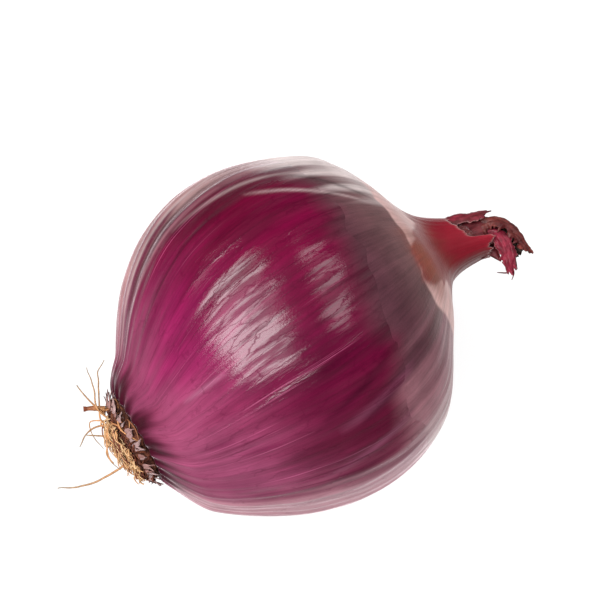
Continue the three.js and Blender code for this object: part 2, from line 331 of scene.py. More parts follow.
def add_neck(colour, run, degrees, upper_turn, wander, fine):
    """The pink sheath at the neck's foot, then brown with an orange tongue, then crimson; painted
    shade below.
    """
    back = 1 - smooth(degrees, 280, 345)
    upper = smooth(turn_between(80, degrees), 0, 30) * (1 - smooth(upper_turn, 110, 160))
    pink_start = 84.5 - 5 * smooth(degrees, 96, 126) * back + 0.8 * wander + 0.5 * fine
    pink_start += 3.5 * smooth(degrees, 130, 150) * back + 1.5 * upper
    softness = 0.9 + 4 * upper + 6 * smooth(degrees, 145, 200) * back
    hidden = smooth(np.abs(turn_between(degrees, FRONT)), 92, 120)
    sheath = blend(np.broadcast_to(NECK_PINK, colour.shape), FILM_LATE * 1.5, 0.6 * hidden)
    colour = blend(colour, sheath, 0.92 * smooth(run, pink_start, pink_start + softness))

    tongue = np.exp(-np.abs(turn_between(degrees + 5 * fine, 116) / 21) ** 3)
    low = smooth(degrees, 135, 165) * back
    brown_start = 97 - 17 * tongue + (2 - hidden) * fine - 6 * low + 2.5 * wander * hidden
    brown_end = brown_start + 3 + 4 * low + 5 * hidden
    colour = blend(colour, NECK_BROWN, smooth(run, brown_start, brown_end))
    orange = tongue * np.exp(-((run - 87) / 4.6) ** 2)
    colour = blend(colour, NECK_ORANGE, 0.9 * orange)
    colour = blend(colour, NECK_CRIMSON, 0.85 * smooth(run + 2 * fine, 101, 108))
    # Painted shade: the underside of the neck's end is darkened towards half its brown.
    painted_shade_under = low * (1 - smooth(degrees, 215, 240)) * smooth(run, 96, 102)
    return blend(colour, 0.5 * NECK_BROWN, 0.8 * painted_shade_under)


def skin_colour(run, degrees):
    """The colour of the outside, from the root seat to the neck's mouth."""
    wander = streak_noise(run, degrees, 3, 30, seed=3)
    fine = streak_noise(run, degrees, 9, 22, seed=9)
    colour = GROUND + np.zeros(run.shape + (3,))
    for angle, place, reach_around, reach_along, strength, patch in PATCHES:
        around = (turn_between(degrees, angle) + 8 * wander) / reach_around
        along = (run - place + 5 * fine) / reach_along
        colour = blend(colour, patch, strength * np.exp(-around ** 2 - along ** 2))

    # How far round each place is from the front, upward and downward, in degrees.
    lines = streak_noise(run, degrees, 12, 70, seed=15)
    upper_turn = turn_between(FRONT, degrees) + 12 * lines
    lower_turn = turn_between(degrees, FRONT) + 12 * lines
    upper_fade = 1 - smooth(upper_turn, 90, 112)
    lower_fade = 1 - smooth(lower_turn, 94, 116)
    colour = add_rims_and_reflection(colour, run, upper_turn, lower_turn, upper_fade, lower_fade)
    film = film_colour(run, upper_turn, lower_turn, upper_fade, lower_fade)
    edge = film_start(degrees) + 1.6 * fine + 2.5 * wander
    colour = blend(colour, film, 0.96 * smooth(run - edge, -5, 4.5))
    colour = add_marks(colour, run, degrees)
    colour = add_neck(colour, run, degrees, upper_turn, wander, fine)
    # Painted shade: the skin darkens to deep purple in the crease at the root seat.
    crease = 1 - smooth(run + 4.5 * fine + 1.5 * wander, 1.5, 9)
    return PIGMENT * blend(colour, CREASE_SHADE, 0.9 * crease)


RIDGES = 40
RIDGE_DRAW = np.random.default_rng(11)
RIDGE_PLACES = (np.arange(RIDGES) + RIDGE_DRAW.uniform(-0.3, 0.3, RIDGES)) * 360 / RIDGES
RIDGE_HEIGHTS = RIDGE_DRAW.uniform(0.45, 1.2, RIDGES)
RIDGE_WIDTHS = RIDGE_DRAW.uniform(1.5, 2.8, RIDGES)


def skin_relief(run, degrees):
    """How far the skin stands out from the plain form, in millimetres."""
    wander = 1.5 * smooth(run, 4, 40) * streak_noise(run, degrees, 2, 40, seed=21, layers=1)
    ridges = np.zeros(np.broadcast(run, degrees).shape)
    for place, height, width in zip(RIDGE_PLACES, RIDGE_HEIGHTS, RIDGE_WIDTHS):
        ridges += height * np.exp(-(turn_between(degrees + wander, place) / width) ** 2)
    side = np.abs(np.sin(np.radians(degrees - 104))) ** 1.3
    fullness = 0.08 + 0.92 * side
    rise = smooth(run, 2, 12) * (1 - 0.7 * smooth(run, 42, 72)) * (1 - 0.8 * smooth(run, 82, 92))
    relief = 0.34 * ridges * fullness * rise

    fine = streak_noise(run, degrees, 16, 18, seed=31)
    relief += 0.05 * fine * smooth(run, 1, 8) * (1 - 0.7 * smooth(run, 84, 94))
    furrows = streak_noise(run, degrees, 15, 12, seed=35)
    relief += 0.12 * furrows * smooth(run, 8, 20) * (1 - smooth(run, 70, 88))
    swell = layered_noise(on_skin(run, degrees) / 17, seed=41, layers=2)
    relief += 0.22 * swell * smooth(run, 4, 16)

    pleats = np.cos(np.radians(24 * degrees) + 5 * wander)
    relief += 0.2 * (pleats - 0.6) * np.exp(-((run - 1) / 3) ** 2)
    gather = np.abs(streak_noise(run, degrees, 5, 26, seed=51))
    relief -= 0.12 * gather * smooth(run, 80, 96)
    return relief


def grain_at(run, degrees):
    angle = np.radians(degrees)
    return np.stack([np.cos(angle), np.sin(angle), run / 10 + 0 * angle], -1)


SIDES, SKIN_ROWS, FILM_ROWS = 420, 236, 112
TURNS = np.arange(SIDES) * 360 / SIDES


def film_edge(degrees):
    """The papery skin's torn edge, as a distance along the skin."""
    tear = streak_noise(0 * degrees, degrees, 7, 1, seed=61, layers=4)
    return film_start(degrees) + 1.5 + 1.1 * tear


def neck_sink(run, degrees):
    """How far the neck is pulled in on its lower side, where it is thinnest."""
    return 1.0 * smooth(run, 98, 112) * np.exp(-(turn_between(degrees, 180) / 42) ** 2)


def make_skin(material):
    """The bulb: its glossy skin, closed by the root seat and the end of the neck."""
    run, degrees = np.meshgrid(np.linspace(0, LENGTH, SKIN_ROWS), TURNS, indexing="ij")
    edge = film_edge(degrees)
    sink = 0.35 * smooth(run, edge + 1, edge + 4) + 0.9 * smooth(run, 100, 107)
    height = skin_relief(run, degrees) - sink - neck_sink(run, degrees)
    points = on_skin(run, degrees, height)
    points[..., 2] = np.maximum(points[..., 2], 0)      # the flat spot
    faces = [face[::-1] for face in capped_faces(SKIN_ROWS, SIDES)]
    colours = skin_colour(run, degrees)
    colours = blend(colours, PIGMENT * srgb(128, 62, 62), smooth(run, 97, 102))
    piece = make_mesh("red_skin", points, faces, colours, grain_at(run, degrees))
    finish_piece(piece, material, "red_skin", "bulb")


def mouth_edge(degrees):
    """How far the papery skin reaches beyond the neck's end: torn open along the top."""
    tear = streak_noise(0 * degrees, degrees, 2.2, 1, seed=71, layers=4)
    fine_tear = streak_noise(0 * degrees, degrees, 12, 1, seed=75, layers=3)
    notch = smooth(degrees, 40, 52) * (1 - smooth(degrees, 104, 113))
    cut_back = 1.6 * smooth(degrees, 118, 140) * (1 - smooth(degrees, 225, 250))
    return (2.4 + 0.8 * tear + 0.35 * fine_tear - cut_back
            - (5.6 + 0.02 * (80 - degrees)) * notch)


def make_papery_skin(material):
    """The dry film over the shoulder and up the neck, open at its torn mouth."""
    share = np.linspace(0, 1, FILM_ROWS)
    edge, mouth = film_edge(TURNS), LENGTH + mouth_edge(TURNS)
    run = edge + share[:, None] * (mouth - edge)
    degrees = np.broadcast_to(TURNS, run.shape)
    emerge = smooth(run - edge, 0, 3)
    outside = skin_relief(run, degrees) - 0.05 + 0.09 * emerge - neck_sink(run, degrees)
    thickness = 0.06 + 0.06 * emerge + 0.2 * smooth(run, 90, 110)
    beyond = np.maximum(run - LENGTH, 0)
    outer = on_skin(run, degrees, outside)
    inner = on_skin(run, degrees, outside - thickness)
    onward = on_axis(NECK_END + 1, 0, 0) - on_axis(NECK_END, 0, 0)
    outer += beyond[..., None] * onward
    inner += beyond[..., None] * onward
    flap = np.exp(-(turn_between(degrees, 116) / 6) ** 2) * smooth(run - mouth, -4, 0)
    raise_by = (0.35 * flap)[..., None] * unit(
        on_skin(run, degrees, 1.0) - on_skin(run, degrees, 0.0))
    points = np.concatenate([outer + raise_by, (inner + raise_by)[::-1]])
    faces = [face[::-1] for face in grid_faces(2 * FILM_ROWS, SIDES, wrap_rows=True)]
    both = np.concatenate([run, run[::-1]])
    turns = np.concatenate([degrees, degrees])
    colours = skin_colour(both, turns)
    rim = smooth(run - mouth, -0.55, -0.1)
    colours = blend(colours, PIGMENT * LEAF_EDGE, 0.75 * np.concatenate([rim, rim[::-1]]))
    piece = make_mesh("papery_skin_film", points, faces, colours, grain_at(both, turns))
    finish_piece(piece, material, "papery_skin", "papery_skin")


# ------------------------------------------------------------------ thin pieces

def through(points, count):
    """A smooth line through its way points, with a share of the way at each point."""
    points = np.asarray(points, dtype=float)
    ends = np.vstack([2 * points[0] - points[1], points, 2 * points[-1] - points[-2]])
    place = np.linspace(0, len(points) - 1, count)
    step = np.minimum(place.astype(int), len(points) - 2)
    t = (place - step)[:, None]
    a, b, c, d = (ends[step + k] for k in range(4))
    return 0.5 * (2 * b + (c - a) * t + (2 * a - 5 * b + 4 * c - d) * t ** 2
                  + (3 * b - a - 3 * c + d) * t ** 3)


def spread(values, count):
    """Values given at even steps, read off at a number of points."""
    values = np.asarray(values, dtype=float)
    steps = np.linspace(0, 1, len(values))
    at = np.linspace(0, 1, count)
    if values.ndim == 1:
        return np.interp(at, steps, values)
    return np.stack([np.interp(at, steps, column) for column in values.T], -1)


def tube(line, radii, sides=6):
    """The vertices and faces of a closed tube along a line."""
    ahead = unit(np.gradient(line, axis=0))
    across = np.array([0.31, 0.22, 0.92])
    first = unit(np.cross(ahead, across))
    second = np.cross(ahead, first)
    turns = np.arange(sides) * 2 * math.pi / sides
    ring = np.cos(turns)[:, None] * first[:, None] + np.sin(turns)[:, None] * second[:, None]
    return line[:, None] + ring * radii[:, None, None], capped_faces(len(line), sides)


class Gathered:
    """Several closed meshes that are put together as one piece."""

    def __init__(self):
        self.vertices, self.faces, self.colours, self.grain, self.count = [], [], [], [], 0

    def add(self, vertices, faces, colours, grain):
        self.faces += [[corner + self.count for corner in face] for face in faces]
        self.count += vertices.size // 3
        self.vertices.append(vertices.reshape(-1, 3))
        self.colours.append(np.broadcast_to(colours, vertices.shape).reshape(-1, 3))
        self.grain.append(np.broadcast_to(grain, vertices.shape).reshape(-1, 3))

    def make(self, name):
        return make_mesh(name, np.vstack(self.vertices), self.faces,
                         np.vstack(self.colours), np.vstack(self.grain))


def blade(gathered, spine, widths, facings, curls, colours, seed, crumple=0.35, ragged=0.25,
          thickness=0.2, rows=80, columns=36, edge_colour=None):
    """A crumpled strip of dry leaf along a spine, facing and curling as told at even steps."""
    centre = through(spine, rows)
    ahead = unit(np.gradient(centre, axis=0))
    facing = spread(facings, rows)
    side = unit(np.cross(ahead, facing))
    facing = np.cross(side, ahead)
    way = np.r_[0, np.cumsum(np.linalg.norm(np.diff(centre, axis=0), axis=1))]
    across = np.linspace(-1, 1, columns)
    half = spread(widths, rows)[:, None]
    edges = np.stack([np.broadcast_to(way[:, None] / 0.8, (rows, columns)),
                      np.broadcast_to(np.sign(across + 0.01) * 9, (rows, columns)),
                      np.zeros((rows, columns))], -1)
    half = half * (1 + ragged * layered_noise(edges, seed, 4))
    curl = spread(curls, rows)[:, None] + 1e-3
    turn = across * curl
    place = np.stack([np.broadcast_to(way[:, None], half.shape), half * across,
                      np.full(half.shape, 0.5)], -1)
    fold = np.abs(layered_noise(place * (0.16, 0.75, 1), seed + 10, 2)) - 0.3
    crease = layered_noise(place * (0.42, 1.5, 1), seed + 20, 3)
    tip = layered_noise(np.stack([across * 3, 0 * across, 0 * across], -1), seed + 30, 3)
    slip = (0.9 * tip - 1.4 * across ** 2) * (np.linspace(0, 1, rows) ** 4)[:, None]
    out = half * (np.cos(turn) - 1) / curl + crumple * (2.4 * fold + 0.35 * crease)
    along_side = half * np.sin(turn) / curl
    points = (centre[:, None] + side[:, None] * along_side[..., None]
              + facing[:, None] * out[..., None] + ahead[:, None] * slip[..., None])
    normal = unit(np.cross(np.gradient(points, axis=0), np.gradient(points, axis=1)))
    thin = thickness * (1 - 0.7 * np.abs(across) ** 4)[None, :, None]
    top, base = points + normal * thin / 2, points - normal * thin / 2
    both = np.concatenate([top, base[:, ::-1]], axis=1)
    mottle = np.clip(0.5 + 0.7 * layered_noise(place * (0.35, 0.8, 1), seed + 40, 4), 0, 1)
    tone = blend(np.broadcast_to(colours[0], mottle.shape + (3,)), colours[1], mottle)
    if edge_colour is not None:
        rim = smooth(np.abs(across) + 0 * mottle, 0.86, 0.97)
        tone = blend(tone, edge_colour, 0.85 * rim)
    # The back face of each strip is painted darker, at 0.7 of the front's colour: painted shade.
    tone = np.concatenate([tone, 0.7 * tone[:, ::-1]], axis=1)
    grain = np.concatenate([place, place[:, ::-1]], axis=1) * (0.12, 0.09, 1)
    grain = grain[..., [1, 2, 0]]
    gathered.add(both, capped_faces(rows, 2 * columns), PIGMENT * tone, grain)


# ------------------------------------------------------------------ the dry leaf end

LEAF_BROWN, LEAF_DARK = srgb(172, 78, 70), srgb(112, 36, 40)
LEAF_OLIVE, LEAF_BLACK = srgb(96, 70, 48), srgb(50, 24, 20)
LEAF_RED, LEAF_WINE = srgb(204, 62, 90), srgb(136, 26, 50)


def make_leaf_ends(material):
    """The dead leaf bases beyond the neck: one node's place each, but torn and crumpled."""
    def leaf(name, node, *blades, threads=()):
        gathered = Gathered()
        for settings in blades:
            blade(gathered, **settings)
        for line, thick in threads:
            vertices, faces = tube(through(line, 16), thick * spread([1, 0.8, 0.35], 16))
            gathered.add(vertices, faces, PIGMENT * LEAF_DARK, (0, 0, 0))
        finish_piece(gathered.make(name), material, "dry_leaf", node)

    leaf("main_leaf_lobe", "leaf_end_3", dict(
        spine=[(44.5, -4.8, 39.9), (48.9, -5.2, 42.0), (52.6, -6.9, 43.1), (54.5, -10.8, 42.6),
               (54.9, -14.5, 41.6), (54.8, -17.6, 40.6)],
        widths=[3.0, 3.0, 2.8, 2.9, 3.0, 2.2],
        facings=[(0.1, 0.5, 1), (0.2, 0.5, 0.9), (0.7, 0.4, 0.8), (0.8, 0.1, 0.8),
                 (0.8, 0.0, 0.7), (0.8, 0.1, 0.6)],
        curls=[1.1, 1.1, 1.25, 1.2, 1.0, 0.7], colours=(LEAF_BROWN, LEAF_DARK), seed=101,
        crumple=0.42, ragged=0.3), dict(
        spine=[(46.0, -6.2, 38.2), (49.6, -7.6, 39.6), (51.8, -10.0, 40.2), (52.4, -13.0, 39.8),
               (52.8, -16.0, 39.2)],
        widths=[1.6, 2.2, 2.5, 2.3, 1.5], facings=[(-0.1, -0.4, 1)] * 5,
        curls=[-0.7, -0.8, -0.9, -0.8, -0.5], colours=(LEAF_OLIVE, LEAF_BLACK), seed=131,
        crumple=0.5, ragged=0.3))

    leaf("red_leaf_lobe", "leaf_end_4", dict(
        spine=[(47.0, -7.8, 41.0), (50.2, -9.4, 43.0), (50.4, -12.4, 43.2), (49.4, -15.8, 41.6),
               (48.2, -18.6, 39.6)],
        widths=[1.7, 2.0, 2.1, 2.0, 1.1],
        facings=[(0.1, 0.1, 1), (-0.1, 0, 1), (-0.2, -0.1, 1), (-0.3, -0.3, 1), (-0.3, -0.4, 1)],
        curls=[0.9, 0.9, 0.8, 0.9, 0.8], colours=(LEAF_RED, LEAF_WINE), seed=151,
        crumple=0.3, ragged=0.22, edge_colour=LEAF_EDGE), dict(
        spine=[(49.6, -9.4, 40.8), (51.6, -12.0, 41.8), (51.2, -15.2, 41.0), (49.4, -18.6, 39.4)],
        widths=[1.0, 1.2, 1.3, 0.7], facings=[(0.6, -0.2, 0.9)] * 4,
        curls=[0.9, 1.0, 1.0, 0.8], colours=(LEAF_RED * 0.8, LEAF_WINE * 0.8), seed=171,
        crumple=0.32, ragged=0.25, edge_colour=LEAF_BROWN),
        threads=[
            ([(48.9, -17.1, 40.0), (47.7, -17.7, 39.2), (46.5, -16.8, 39.0), (45.7, -16.3, 39.4)],
             0.22),
            ([(49.3, -17.5, 39.8), (48.7, -18.7, 39.0), (47.5, -19.5, 38.4)], 0.2)])

    leaf("inner_leaf_layer", "leaf_end_2", dict(
        spine=[(43.0, -4.2, 42.9), (46.0, -5.2, 43.1), (49.2, -6.0, 42.8), (52.4, -7.2, 42.2)],
        widths=[2.4, 3.2, 3.3, 2.4],
        facings=[(0, 0.05, 1), (0, 0.05, 1), (0.1, 0, 1), (0.3, 0, 1)],
        curls=[0.9, 0.8, 0.7, 0.7], colours=(srgb(160, 62, 70), srgb(108, 30, 40)), seed=191,
        crumple=0.16, ragged=0.1))

    leaf("upper_leaf_flap", "leaf_end_1", dict(
        spine=[(39.6, -0.2, 42.9), (43.6, -0.9, 43.6), (47.9, -2.9, 44.0), (51.7, -4.7, 43.9)],
        widths=[1.3, 1.7, 1.8, 1.6],
        facings=[(0, 0.5, 0.9), (0, 0.5, 0.9), (0.2, 0.5, 0.9), (0.2, 0.5, 0.9)],
        curls=[0.5, 0.5, 0.6, 0.6], colours=(srgb(196, 62, 86), srgb(140, 50, 58)), seed=211,
        crumple=0.16, ragged=0.16, edge_colour=LEAF_EDGE))

    leaf("leaf_scrap", "leaf_end_5", dict(
        spine=[(44.6, -6.4, 38.6), (46.9, -8.6, 39.3), (48.2, -11.4, 39.3), (48.3, -13.6, 38.9)],
        widths=[2.4, 2.8, 2.5, 1.5], facings=[(-0.2, -0.4, 1)] * 3, curls=[0.6, 0.6, 0.6],
        colours=(srgb(150, 50, 60), LEAF_DARK), seed=231, crumple=0.22, ragged=0.2, rows=50))


# ------------------------------------------------------------------ the root end

CORK_DARK, CORK_BROWN, CORK_TAN = srgb(62, 28, 20), srgb(112, 58, 42), srgb(176, 116, 80)
ROOT_TAN, ROOT_PALE, ROOT_BROWN = srgb(234, 166, 108), srgb(255, 212, 162), srgb(138, 70, 46)
SCALE_PALE, SCALE_ROSE = srgb(255, 214, 212), srgb(214, 150, 140)
BLUNT_TIP, DRY_TIP = srgb(138, 62, 40), srgb(172, 146, 116)
ROOT_PIGMENT = 0.5
SCALE_TIPS = 50
PLATE_STUBS, PLATE_FIBRES, MAT_ROOTS, MAT_NODES = 260, 26, 230, 18
MAT_SIDES, STRAY_SIDES = 5, 8


def on_root_end(out, radius, degrees):
    """A place by its distance out from the root seat, and round the root plate."""
    angle = np.radians(degrees)
    along = -ROOT_HALF - out + 0 * angle
    return on_axis(along, radius * np.cos(angle), radius * np.sin(angle))


def make_root_plate(material):
    """The corky disc that the roots grow from: a rough dome with a worn rim."""
    rows, columns = 60, 220
    share, steps = np.linspace(0, 1, rows), [0, 0.1, 0.3, 0.55, 0.8, 1]
    radius = np.interp(share, steps, [9.4, 9.9, 9.3, 8.3, 5.0, 0.25])
    out = np.interp(share, steps, [-0.7, 0.2, 1.4, 2.7, 3.3, 3.5])
    degrees = np.arange(columns) * 360 / columns
    out, turns = np.meshgrid(out, degrees, indexing="ij")
    reach = np.broadcast_to(radius[:, None], turns.shape)
    plain = on_root_end(out, reach, turns)
    lumps = layered_noise(plain * 0.9, 301, 4)
    outward = unit(plain - on_root_end(0.5, 0, 0))
    points = plain + outward * (0.42 * lumps * smooth(reach, 0.2, 3))[..., None]
    tone = blend(np.broadcast_to(CORK_DARK, plain.shape), CORK_BROWN,
                 np.clip(0.45 + 0.8 * lumps, 0, 1))
    tone = blend(tone, CORK_TAN, 0.5 * np.clip(layered_noise(plain * 2.1, 321, 3), 0, 1))
    grain = np.stack([np.cos(np.radians(turns)), np.sin(np.radians(turns)), out / 10], -1)
    piece = make_mesh("corky_root_plate", points, capped_faces(rows, columns),
                      ROOT_PIGMENT * tone, grain)
    finish_piece(piece, material, "root_plate", "root_plate")


def make_torn_scales(material):
    """The pale torn scale bases that stand round the root plate like a ragged crown."""
    draw = np.random.default_rng(401)
    gathered = Gathered()
    for index in range(SCALE_TIPS):
        degrees = (index + draw.uniform(-0.35, 0.35)) * 360 / SCALE_TIPS
        length = draw.uniform(0.5, 1.4)
        wide = draw.uniform(0.4, 0.85)
        lean = draw.uniform(-6, 6)
        share = np.linspace(0, 1, 5)
        stand = draw.uniform(0, 0.9)
        line = on_root_end(2.3 - 1.8 * length * share + stand * share ** 2,
                           9.3 + 2.0 * length * share, degrees + lean * share)
        facing = unit(on_root_end(3.0, 10.6, degrees) - on_root_end(1.5, 9.3, degrees))
        body = blend(SCALE_PALE, SCALE_ROSE, draw.uniform(0, 1))
        blade(gathered, spine=line, widths=[wide, wide * 0.9, wide * 0.65, wide * 0.35, 0.05],
              facings=[facing] * 2, curls=[0.5, 0.4], colours=(body, body * 0.7),
              seed=410 + index, crumple=0.06, ragged=0.2, thickness=0.26, rows=14, columns=7)
    finish_piece(gathered.make("torn_scale_crown"), material, "torn_scale", "scale_collar")


def root_line(start, way, length, draw, curl, count):
    """A root that sets out one way and is swept another, wandering as it goes."""
    share = np.linspace(0, 1, count)
    phase = draw.uniform(0, 2 * math.pi, 3)
    pace = draw.uniform(0.6, 1.6, 3)
    wave = np.stack([np.sin(2 * math.pi * pace[k] * share + phase[k]) - math.sin(phase[k])
                     for k in range(3)], -1)
    return start + way(share) * length + curl * wave * share[:, None] ** 0.7


def add_root(gathered, line, radii, tone, run, sides):
    """A tube with its colour, and its distance along the root, at each point of its line."""
    vertices, faces = tube(line, radii, sides)
    tone = np.repeat(tone, sides, axis=0).reshape(vertices.shape)
    turn = np.tile(np.arange(sides) / sides, len(line))
    grain = np.stack([turn, 0 * turn, np.repeat(run, sides)], -1)
    gathered.add(vertices, faces, ROOT_PIGMENT * tone, grain.reshape(vertices.shape))


def make_root_mat(material):
    """The dry roots that are matted together and combed down across the root plate."""
    draw = np.random.default_rng(501)
    gathered = Gathered()
    nodes = [f"mat_root_{number:02d}" for number in range(1, MAT_NODES + 1)]

    def strand(start, away, comb, length, thick, colour, curl, count=14):
        def way(share):
            return away * (share * (1.4 - 0.8 * share))[:, None] + comb * (share ** 1.7)[:, None]
        line = root_line(start, way, length, draw, curl, count)
        radii = thick * spread([1.15, 1, 0.9, 0.75, 0.45], count)
        radii = radii * (1 + 0.18 * lattice_noise(line * 2.2, 3))
        tone = colour * (1 + 0.25 * lattice_noise(line * 1.1, 7))[:, None]
        add_root(gathered, line, radii, tone, np.linspace(0, length / 10, count), MAT_SIDES)

    outward = on_root_end(1, 0, 0) - on_root_end(0, 0, 0)
    down = np.array([0.0, -1.0, 0.0])
    for _ in range(PLATE_STUBS):            # brown stubs over the plate's side
        degrees = draw.uniform(0, 360)
        radius = draw.uniform(6.6, 9.9)
        start = on_root_end(3.3 - 0.6 * (radius - 6.0), radius - 0.3, degrees)
        radial = unit(on_root_end(0.0, 1.0, degrees) - on_root_end(0.0, 0.0, degrees))
        side = np.cross(radial, outward)
        away = 0.5 * outward + 0.7 * radial + draw.uniform(-0.9, 0.9) * side
        colour = blend(ROOT_BROWN, CORK_DARK, draw.uniform(0, 1))
        strand(start, away, 0.5 * down, draw.uniform(0.9, 2.2), draw.uniform(0.16, 0.32), colour,
               0.35, count=8)
    for _ in range(PLATE_FIBRES):           # fibres that lie round the plate
        begin, sweep = draw.uniform(0, 360), draw.uniform(12, 38) * draw.choice([-1, 1])
        share = np.linspace(0, 1, 14)
        swing = 0.7 * np.sin(share * draw.uniform(3, 7) + draw.uniform(0, 6))
        out = draw.uniform(0.8, 3.0) + swing
        line = on_root_end(out, 10.3 - 0.55 * np.maximum(out, 0) + 0.4 * swing,
                           begin + sweep * share)
        thick = draw.uniform(0.13, 0.22)
        vertices, faces = tube(line, thick * spread([0.7, 1, 1, 0.6], 14), MAT_SIDES)
        colour = blend(ROOT_TAN, ROOT_BROWN, draw.uniform(0, 1))
        gathered.add(vertices, faces, ROOT_PIGMENT * colour, (0, 0, 0))
    for _ in range(MAT_ROOTS):              # the tan mat
        degrees = draw.uniform(0, 360)
        radius = 7.8 * math.sqrt(draw.uniform(0, 1))
        start = on_root_end(3.4 - 0.06 * max(radius - 5, 0), radius, degrees)
        upper = float(smooth(start[1], -7, 7))
        away = outward * draw.uniform(0.3, 0.75) + draw.normal(0, 0.16, 3)
        comb = down * draw.uniform(0.6, 1.0) + draw.normal(0, 0.12, 3)
        shade = draw.uniform(0, 1)
        colour = blend(ROOT_TAN, ROOT_PALE, shade) if draw.uniform() > 0.2 else ROOT_BROWN
        strand(start, away, comb, draw.uniform(0.8, 1.4) * (1.6 + 3.6 * upper),
               draw.uniform(0.12, 0.24), colour, 0.38)
    finish_piece(gathered.make("root_mat"), material, "root", *nodes)


# Each stray root is a line through a few places, with its thickness and how blunt it ends.
STRAYS = {
    "long": [([(-44.6, -1.8, 35.8), (-48.6, -1.5, 34.0), (-53.4, -0.5, 32.5), (-57.8, 1.7, 31.0),
               (-61.2, 4.2, 30.0)], 0.26, 0.4)],
    "lower": [([(-45.6, 4.4, 38.8), (-48.4, 2.2, 37.8), (-48.9, 0.2, 37.0), (-48.2, -2.4, 36.0)],
               0.15, 0.4),
              ([(-45.2, 7.4, 40.4), (-47.7, 9.3, 39.4), (-48.8, 7.0, 38.0), (-48.7, 3.3, 37.0)],
               0.14, 0.4)],
    "hooked": [([(-44.8, 5.8, 40.8), (-47.4, 6.9, 41.4), (-50.2, 6.7, 42.0), (-52.9, 5.2, 42.0)],
                0.22, 0.4)],
    "stub": [([(-43.6, 9.4, 40.6), (-45.4, 10.8, 41.2), (-47.3, 12.0, 41.5)], 0.62, 0.9),
             ([(-44.4, 8.2, 41.0), (-45.3, 12.3, 42.0), (-45.6, 14.4, 43.0), (-45.6, 16.4, 44.0)],
              0.2, 0.6)],
    "upper_left": [([(-44.2, 6.2, 42.0), (-45.2, 9.6, 44.0), (-43.4, 13.2, 46.5),
                     (-42.2, 16.7, 49.0)], 0.2, 0.4)],
    "upper_right": [([(-44.8, 4.6, 40.6), (-45.8, 7.4, 42.0), (-44.0, 10.5, 44.0),
                      (-42.1, 13.2, 46.0), (-40.8, 14.8, 48.0), (-38.4, 15.6, 50.0)], 0.2, 0.4)],
    "side": [([(-44.2, 5.2, 33.6), (-46.6, 7.4, 31.8), (-49.2, 10.0, 31.2)], 0.24, 0.5)],
}


def make_stray_roots(material):
    for name, roots in STRAYS.items():
        gathered = Gathered()
        for places, thick, end in roots:
            line = through(places, 44)
            share = np.linspace(0, 1, len(line))[:, None]
            line = line + 0.22 * share ** 0.5 * np.stack(
                [lattice_noise(line * 0.5 + 9 * k, 611 + k) for k in range(3)], -1)
            radii = thick * spread([1.2, 1, 0.9, 0.75, end], len(line))
            radii = radii * (1 + 0.15 * lattice_noise(line * 2.4, 5))
            tip = BLUNT_TIP if end > 0.8 else DRY_TIP
            tone = blend(np.broadcast_to(ROOT_TAN, line.shape), tip, share[:, 0])
            add_root(gathered, line, radii, tone, share[:, 0] * 2, STRAY_SIDES)
        finish_piece(gathered.make(f"stray_root_fibre_{name}"), material, "root",
                     f"stray_root_{name}")


# ------------------------------------------------------------------ materials

class Nodes:
    """A material's node tree, built one node at a time."""

    def __init__(self, name):
        self.material = bpy.data.materials.new(name)
        self.material.use_nodes = True
        self.tree = self.material.node_tree
        self.shader = self.tree.nodes["Principled BSDF"]

    def put(self, socket, value):
        if isinstance(value, bpy.types.NodeSocket):
            self.tree.links.new(value, socket)
        else:
            socket.default_value = value

    def add(self, kind, out=0, settings=(), **inputs):
        node = self.tree.nodes.new("ShaderNode" + kind)
        for key, value in dict(settings).items():
            setattr(node, key, value)
        for key, value in inputs.items():
            self.put(node.inputs[key.replace("_", " ")], value)
        return node.outputs[out]

    def attribute(self, name, output):
        node = self.tree.nodes.new("ShaderNodeAttribute")
        node.attribute_name = name
        return node.outputs[output]

    def place(self):
        return self.tree.nodes.new("ShaderNodeTexCoord").outputs["Object"]

    def millimetres(self):
        return self.add("Mapping", Vector=self.place(), Scale=(1000, 1000, 1000))

    def maths(self, operation, first, second=0.0):
        node = self.tree.nodes.new("ShaderNodeMath")
        node.operation = operation
        self.put(node.inputs[0], first)
        self.put(node.inputs[1], second)
        return node.outputs[0]

    def vector_maths(self, operation, *values, out=0):
        node = self.tree.nodes.new("ShaderNodeVectorMath")
        node.operation = operation
        for socket, value in zip(node.inputs, values):
            self.put(socket, value)
        return node.outputs[out]

    def ramp(self, value, low, high, to_low=0.0, to_high=1.0):
        return self.add("MapRange", Value=value, From_Min=low, From_Max=high,
                        To_Min=to_low, To_Max=to_high)

    def vary(self, noise, to_low, to_high):
        """Noise, most of which lies between 0.3 and 0.7, brought to a range."""
        return self.ramp(noise, 0.3, 0.7, to_low, to_high)

    def weighted(self, first, *others):
        """The sum of some numbers, each times its weight."""
        total = self.maths("MULTIPLY", *first)
        for term in others:
            total = self.maths("ADD", total, self.maths("MULTIPLY", *term))
        return total

    def mix(self, share, first, second, kind="MIX"):
        node = self.tree.nodes.new("ShaderNodeMix")
        node.data_type, node.blend_type = "RGBA", kind
        self.put(node.inputs[0], share)
        self.put(node.inputs[6], first)
        self.put(node.inputs[7], second)
        return node.outputs[2]

    def shaded(self, tone, shade):
        """A colour made lighter or darker by a number."""
        grey = self.add("CombineColor", Red=shade, Green=shade, Blue=shade)
        return self.mix(1.0, tone, grey, "MULTIPLY")

    def finish(self, **inputs):
        for key, value in inputs.items():
            self.put(self.shader.inputs[key.replace("_", " ")], value)
        return self.material


def streaks(n, grain, around, along, detail=3.0):
    stretched = n.add("Mapping", Vector=grain, Scale=(around, around, along))
    return n.add("TexNoise", Vector=stretched, Scale=1.0, Detail=detail, Roughness=0.6)


